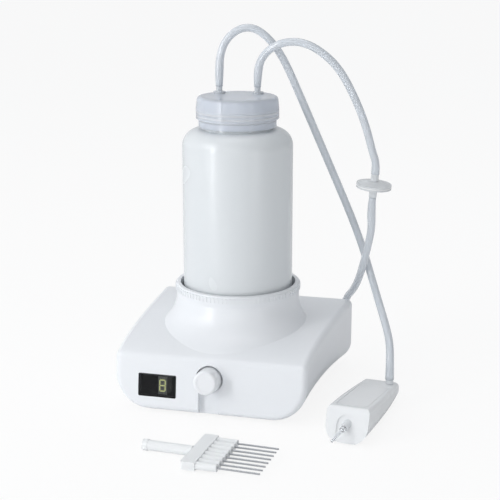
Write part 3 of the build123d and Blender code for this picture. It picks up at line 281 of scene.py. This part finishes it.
def bright(name, colour, strength):
    f = Finish(name)
    glow = f.tint(f.noise(120.0), [c * 0.93 for c in colour], colour)
    return f.done(
        f.surface(Base_Color=glow, Roughness=0.4, Emission_Color=glow, Emission_Strength=strength)
    )


WHITE = (0.85, 0.87, 0.895)
housing_white = moulded("housing_white", WHITE, 0.3)
collar_white = moulded("collar_white", (0.84, 0.86, 0.88), 0.42, 0.00004, 0.1)
hand_white = moulded("hand_white", (0.86, 0.875, 0.885), 0.24)
adapter_white = moulded("adapter_white", (0.85, 0.865, 0.87), 0.4, 0.00003, 0.05)
knob_white = moulded("knob_white", (0.86, 0.875, 0.895), 0.34)
port_white = moulded("port_white", (0.76, 0.78, 0.80), 0.35)
plate_grey = moulded("plate_grey", (0.55, 0.56, 0.58), 0.5, 0.0001, 0.0)
black_plastic = moulded("black_plastic", (0.02, 0.02, 0.022), 0.45, 0.00005, 0.0, 0.8)
board_green = moulded("board_green", (0.02, 0.11, 0.05), 0.4, 0.00003, 0.2, 0.8)
bottle_milky = milky_bottle()
cap_clear = threaded_cap()
stem_clear = clear_plastic("stem_clear", (0.90, 0.935, 0.975), 0.2, 0.4, 1.3)
filter_clear = clear_plastic("filter_clear", (0.93, 0.955, 0.975), 0.24, 0.3, 1.3)
hose_clear = clear_plastic("hose_clear", (0.81, 0.855, 0.905), 0.12, 0.25, 1.45, 1.0)
tip_clear = clear_plastic("tip_clear", (0.95, 0.965, 0.985), 0.1, 0.7, 1.3)
membrane_white = moulded("membrane_white", (0.85, 0.85, 0.84), 0.8, 0.0001, 0.0)
seal_pale = rubber("seal_pale", (0.75, 0.75, 0.74))
foot_black = rubber("foot_black", (0.03, 0.03, 0.032))
pad_grey = rubber("pad_grey", (0.62, 0.63, 0.64))
steel = metal("steel", (0.62, 0.63, 0.65), 0.22)
needle_steel = metal("needle_steel", (0.56, 0.57, 0.59), 0.1, (0.05, 1.0, 1.0), 900.0)
motor_steel = metal("motor_steel", (0.5, 0.5, 0.52), 0.3)
aluminium = metal("aluminium", (0.72, 0.73, 0.74), 0.32)
bronze = metal("bronze", (0.55, 0.42, 0.22), 0.5, scale=900.0)
segment_glow = bright("segment_glow", (0.62, 0.66, 0.30), 3.6)
# The display's grey strip glows a little: painted light that makes it show lighter through the smoked
# window
strip_painted_glow = bright("strip_painted_glow", (0.30, 0.32, 0.30), 1.3)


def window_black():
    """Smoked glossy panel: it lets the lit digit through and shows little of the rest."""
    f = Finish("window_black")
    smear = f.noise(60.0, 3.0)
    smoked = f.tint(smear, (0.004, 0.004, 0.005), (0.007, 0.007, 0.008))
    return f.done(
        f.surface(
            Base_Color=smoked, Roughness=0.05 + 0.05 * smear, Alpha=0.8, Specular_IOR_Level=0.25,
        )
    )


window_glass = window_black()

NODE_FINISH = {
    "upper_housing": housing_white,
    "grip_ring": collar_white,
    "bottle_pad": pad_grey,
    "base_plate": plate_grey,
    "rubber_feet": foot_black,
    "base_screws": steel,
    "display_window": window_glass,
    "display_module": strip_painted_glow,
    "front_board": board_green,
    "encoder_body": steel,
    "encoder_plunger": black_plastic,
    "encoder_shaft": steel,
    "control_knob": knob_white,
    "pump_motor": motor_steel,
    "pump_case": aluminium,
    "pump_shaft": steel,
    "connecting_rod": black_plastic,
    "diaphragm": foot_black,
    "pump_head": black_plastic,
    "pump_cradle": aluminium,
    "pump_mounts": foot_black,
    "vacuum_port": port_white,
    "pump_hose": hose_clear,
    "power_jack": black_plastic,
    "exhaust_silencer": bronze,
    "bottle": bottle_milky,
    "bottle_cap": cap_clear,
    "cap_seal": seal_pale,
    "inlet_stem": stem_clear,
    "outlet_stem": stem_clear,
    "dip_tube": hose_clear,
    "filter_upper": filter_clear,
    "filter_lower": filter_clear,
    "filter_membrane": membrane_white,
    "hand_shell": hand_white,
    "hand_lever": hand_white,
    "lever_pin": steel,
    "lever_spring": steel,
    "hand_inlet": port_white,
    "hand_nozzle": port_white,
    "pinch_hose": hose_clear,
    "aspiration_tip": tip_clear,
    "adapter_body": adapter_white,
    "adapter_needles": needle_steel,
}


def dress(piece, finish):
    piece.data.materials.clear()
    piece.data.materials.append(finish)


for node, finish in NODE_FINISH.items():
    dress(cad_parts[node], finish)


# Hoses

HOSE_DIAMETER = 0.0064
HOSE_WALL = 0.0015
HOSE_START = 249.0
INLET = (-19, 13)
OUTLET = (12.5, 17)
FILTER_CENTRE = Vector((108.6, 31.0, 168.5))
FILTER_UP = Vector((0.09, -0.045, 1.0)).normalized()
FILTER_END = 9.9
HAND_INLET = (133.81, -24.14)
PORT = (77, 79)


def on_filter(rise):
    """A point on the filter's own line, in millimetres from the bottle's axis."""
    return tuple(FILTER_CENTRE + FILTER_UP * rise)


SUCTION_ROUTE = [
    (*INLET, HOSE_START),
    (*INLET, HOSE_START + 12),
    (-18.6, 14, 274),
    (-14.5, 16, 286.5),
    (-4, 18, 296),
    (8.5, 21, 297),
    (20.5, 24, 288),
    (32, 26.5, 272),
    (44, 29, 245),
    (56.5, 33, 215),
    (72.5, 39, 176),
    (87.5, 48, 137),
    (97.5, 53, 108),
    (107.5, 45, 82),
    (118.5, 24, 63.5),
    (127, 2, 53.5),
    (132, -15, 46.5),
    (*HAND_INLET, 35.5),
    (*HAND_INLET, 20.3),
]
UPPER_ROUTE = [
    (*OUTLET, HOSE_START),
    (*OUTLET, HOSE_START + 11.5),
    (15.5, 15.5, 272),
    (24.5, 13, 281.5),
    (37.5, 12, 287),
    (52.5, 12, 286.5),
    (67, 13, 279),
    (80.5, 16, 266),
    (92.5, 19, 244),
    (102, 23, 219.5),
    (107.3, 27.5, 197),
    on_filter(FILTER_END + 9),
    on_filter(FILTER_END),
]
LOWER_ROUTE = [
    on_filter(-FILTER_END),
    on_filter(-FILTER_END - 12),
    (107.6, 32, 132),
    (104.5, 33.5, 116),
    (99.5, 39, 96),
    (94, 50, 80),
    (88, 63, 68),
    (81.5, 74.5, 59),
    (*PORT, 49),
    (*PORT, 39.3),
]


def route_curve(name, route):
    """A smooth curve with the route's points as its control points."""
    data = bpy.data.curves.new(name, "CURVE")
    data.dimensions = "3D"
    spline = data.splines.new("NURBS")
    spline.points.add(len(route) - 1)
    for point, spot in zip(spline.points, route):
        point.co = (*place(*spot), 1.0)
        point.radius = 1.0
    spline.order_u = 3
    spline.use_endpoint_u = True
    spline.resolution_u = 10
    piece = bpy.data.objects.new(name, data)
    bpy.context.scene.collection.objects.link(piece)
    return piece


def centreline(route):
    """Points read along the route's own smooth curve, in order."""
    curve = route_curve("line", route)
    bpy.context.view_layer.update()
    mesh = bpy.data.meshes.new_from_object(curve)
    line = [v.co.copy() for v in mesh.vertices]
    bpy.data.objects.remove(curve)
    return line


# How wide a hose is at its route's end points, as shares of its own diameter
END_SWELLS = ((0, 0.9), (1, 1.16), (-2, 1.0), (-1, 1.12))
MERGE_DISTANCE = 0.00001


def tube(name, route, diameter):
    """An open-ended tube round the route's curve, a little wider where it grips its stems."""
    curve = route_curve(name + "_guide", route)
    data = curve.data
    data.bevel_depth = diameter / 2
    data.bevel_resolution = 6
    spline = data.splines[0]
    for k, swell in END_SWELLS:
        spline.points[k].radius = swell
    bpy.context.view_layer.update()
    mesh = bpy.data.meshes.new_from_object(curve)
    mesh.name = name
    bpy.data.objects.remove(curve)
    for polygon in mesh.polygons:
        polygon.use_smooth = True
    walls = bmesh.new()
    walls.from_mesh(mesh)
    bmesh.ops.remove_doubles(walls, verts=walls.verts, dist=MERGE_DISTANCE)
    bmesh.ops.recalc_face_normals(walls, faces=walls.faces)
    bmesh.ops.solidify(walls, geom=list(walls.faces), thickness=HOSE_WALL)
    walls.to_mesh(mesh)
    walls.free()
    piece = bpy.data.objects.new(name, mesh)
    bpy.context.scene.collection.objects.link(piece)
    dress(piece, hose_clear)
    return piece


HOSES = [
    ("suction_tube", "suction_hose", SUCTION_ROUTE, 0.405),
    ("vacuum_tube_upper", "vacuum_hose_upper", UPPER_ROUTE, 0.192),
    ("vacuum_tube_lower", "vacuum_hose_lower", LOWER_ROUTE, 0.138),
]
for name, node, route, length in HOSES:
    piece = tube(name, route, HOSE_DIAMETER)
    line = centreline(route)
    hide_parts(node)
    if name == "vacuum_tube_upper":
        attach(piece, "cap")
    else:
        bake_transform(piece)


# Display digit

FACE_LEAN = math.radians(7)
FACE_OUT = Vector((0, -math.cos(FACE_LEAN), math.sin(FACE_LEAN)))
FACE_UP = Vector((0, math.sin(FACE_LEAN), math.cos(FACE_LEAN)))
DIGIT_X, DIGIT_Z = -38.8, 22.6
SEGMENT_LENGTH, SEGMENT_WIDTH = 0.0042, 0.0008
SEGMENT_GAP = 0.0003
SEGMENT_THICK = 0.0002
DIGIT_DEPTH = 0.0016
FACE_FOOT = -93.5


def face_place(x, z, out):
    """A point on the leaning front face: x and height in millimetres, out in metres."""
    y = FACE_FOOT + z * math.tan(FACE_LEAN)
    return place(x, y, z) + FACE_OUT * out


def face_frame(spot):
    """Axes on the front face at a spot: right, up the face and out of it."""
    across = Vector((1, 0, 0))
    return Matrix.Translation(spot) @ Matrix((across, FACE_UP, FACE_OUT)).transposed().to_4x4()


def new_piece(name, mesh, finish):
    data = bpy.data.meshes.new(name)
    mesh.to_mesh(data)
    mesh.free()
    piece = bpy.data.objects.new(name, data)
    bpy.context.scene.collection.objects.link(piece)
    dress(piece, finish)
    return piece


def segment(mesh, across, up, turned):
    """One lit bar with pointed ends, in the digit's own plane."""
    half, tip = SEGMENT_LENGTH / 2, SEGMENT_WIDTH / 2
    made = bmesh.ops.create_circle(mesh, cap_ends=True, segments=6, radius=1.0)["verts"]
    corners = [
        (half, 0), (half - tip, tip), (tip - half, tip),
        (-half, 0), (tip - half, -tip), (half - tip, -tip),
    ]
    for vert, (x, y) in zip(made, corners):
        vert.co = Vector((y, x, 0)) if turned else Vector((x, y, 0))
    bmesh.ops.translate(mesh, verts=made, vec=(across, up, 0))


digit_mesh = bmesh.new()
step = SEGMENT_LENGTH + SEGMENT_GAP
for across, up, turned in [
    (0, 0, False), (0, step, False), (0, -step, False),
    (step / 2, step / 2, True), (step / 2, -step / 2, True),
    (-step / 2, step / 2, True), (-step / 2, -step / 2, True),
]:
    segment(digit_mesh, across, up, turned)
bmesh.ops.recalc_face_normals(digit_mesh, faces=digit_mesh.faces)
raised = bmesh.ops.extrude_face_region(digit_mesh, geom=list(digit_mesh.faces))
lifted = [g for g in raised["geom"] if isinstance(g, bmesh.types.BMVert)]
bmesh.ops.translate(digit_mesh, verts=lifted, vec=(0, 0, SEGMENT_THICK))
bmesh.ops.recalc_face_normals(digit_mesh, faces=digit_mesh.faces)
digit_mesh.transform(face_frame(face_place(DIGIT_X, DIGIT_Z, -DIGIT_DEPTH)))
digit = new_piece("digit_segments", digit_mesh, segment_glow)
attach(digit, "base")


# Floor, light and camera

CAMERA_SPOT = place(260.2, -976.3, 379.3)
CAMERA_AIM = place(10.42, 0, 114.69)
LENS = 89.72
SENSOR_WIDTH = 36.0
FLOOR_HALF = 8.0
FLOOR_DROP = 0.0002
FLOOR_GLOW = 0.86


def floor_finish():
    """Plain pale floor: it looks nearly white to the camera, and keeps the object's shadow."""
    f = Finish("floor_pale")
    path = f.node("LightPath", out="Is Camera Ray")
    matt = f.node("BsdfDiffuse", {}, {"Color": rgba((0.95, 0.95, 0.95))})
    glow = f.node("Emission", {}, {"Color": rgba((1, 1, 1)), "Strength": 1.0})
    share = FLOOR_GLOW * path
    return f.done(f.node("MixShader", {}, {0: share, 1: matt, 2: glow}))


floor_mesh = bmesh.new()
bmesh.ops.create_grid(floor_mesh, x_segments=1, y_segments=1, size=FLOOR_HALF)
bmesh.ops.translate(floor_mesh, verts=floor_mesh.verts, vec=(0, 0, -FLOOR_DROP))
floor = new_piece("floor", floor_mesh, floor_finish())

world = bpy.data.worlds.new("studio")
bpy.context.scene.world = world
world.use_nodes = True
tree = world.node_tree
tree.nodes.clear()
paths = tree.nodes.new("ShaderNodeLightPath")
seen = tree.nodes.new("ShaderNodeMath")
seen.operation = "MAXIMUM"
tree.links.new(paths.outputs["Is Camera Ray"], seen.inputs[0])
tree.links.new(paths.outputs["Is Transmission Ray"], seen.inputs[1])
# The surround is bright on the left and falls off to the right, as in a lit tent
toward = tree.nodes.new("ShaderNodeTexCoord")
axes = tree.nodes.new("ShaderNodeSeparateXYZ")
tree.links.new(toward.outputs["Generated"], axes.inputs[0])
fall = tree.nodes.new("ShaderNodeMapRange")
fall.inputs["From Min"].default_value = -0.9
fall.inputs["From Max"].default_value = 0.9
fall.inputs["To Min"].default_value = 0.86
fall.inputs["To Max"].default_value = 0.36
tree.links.new(axes.outputs["X"], fall.inputs["Value"])
dim = tree.nodes.new("ShaderNodeBackground")
dim.inputs["Color"].default_value = (0.95, 0.97, 1.0, 1)
tree.links.new(fall.outputs[0], dim.inputs["Strength"])
white = tree.nodes.new("ShaderNodeBackground")
white.inputs["Color"].default_value = (1, 1, 1, 1)
white.inputs["Strength"].default_value = 1.0
both = tree.nodes.new("ShaderNodeMixShader")
tree.links.new(seen.outputs[0], both.inputs[0])
tree.links.new(dim.outputs[0], both.inputs[1])
tree.links.new(white.outputs[0], both.inputs[2])
out = tree.nodes.new("ShaderNodeOutputWorld")
tree.links.new(both.outputs[0], out.inputs["Surface"])


def soft_light(name, spot, aim, size, power, height=None):
    """A round lamp, or an upright strip where it is given a height."""
    data = bpy.data.lights.new(name, "AREA")
    data.shape = "RECTANGLE" if height else "DISK"
    data.size = size
    if height:
        data.size_y = height
    data.energy = power
    light = bpy.data.objects.new(name, data)
    bpy.context.scene.collection.objects.link(light)
    light.location = spot
    light.rotation_euler = (Vector(aim) - Vector(spot)).to_track_quat("-Z", "Y").to_euler()


soft_light("key_light", (-1.15, -0.95, 1.0), (0, 0, 0.14), 0.9, 5.0)
soft_light("left_strip", (-0.62, -0.75, 0.22), (0, 0.05, 0.16), 0.16, 2.2, 0.7)
soft_light("right_strip", (0.75, -0.55, 0.25), (0, 0.05, 0.16), 0.12, 0.5, 0.7)
soft_light("front_light", (0.35, -1.9, 0.7), (0, 0, 0.1), 0.9, 2.2)
soft_light("top_light", (-0.1, 0.2, 1.8), (0, 0, 0.1), 1.0, 3.5)

camera_data = bpy.data.cameras.new("camera")
camera_data.lens = LENS
camera_data.sensor_width = SENSOR_WIDTH
camera = bpy.data.objects.new("camera", camera_data)
bpy.context.scene.collection.objects.link(camera)
camera.location = CAMERA_SPOT
camera.rotation_euler = (CAMERA_AIM - CAMERA_SPOT).to_track_quat("-Z", "Y").to_euler()
bpy.context.scene.camera = camera
bpy.context.scene.view_settings.view_transform = "Standard"
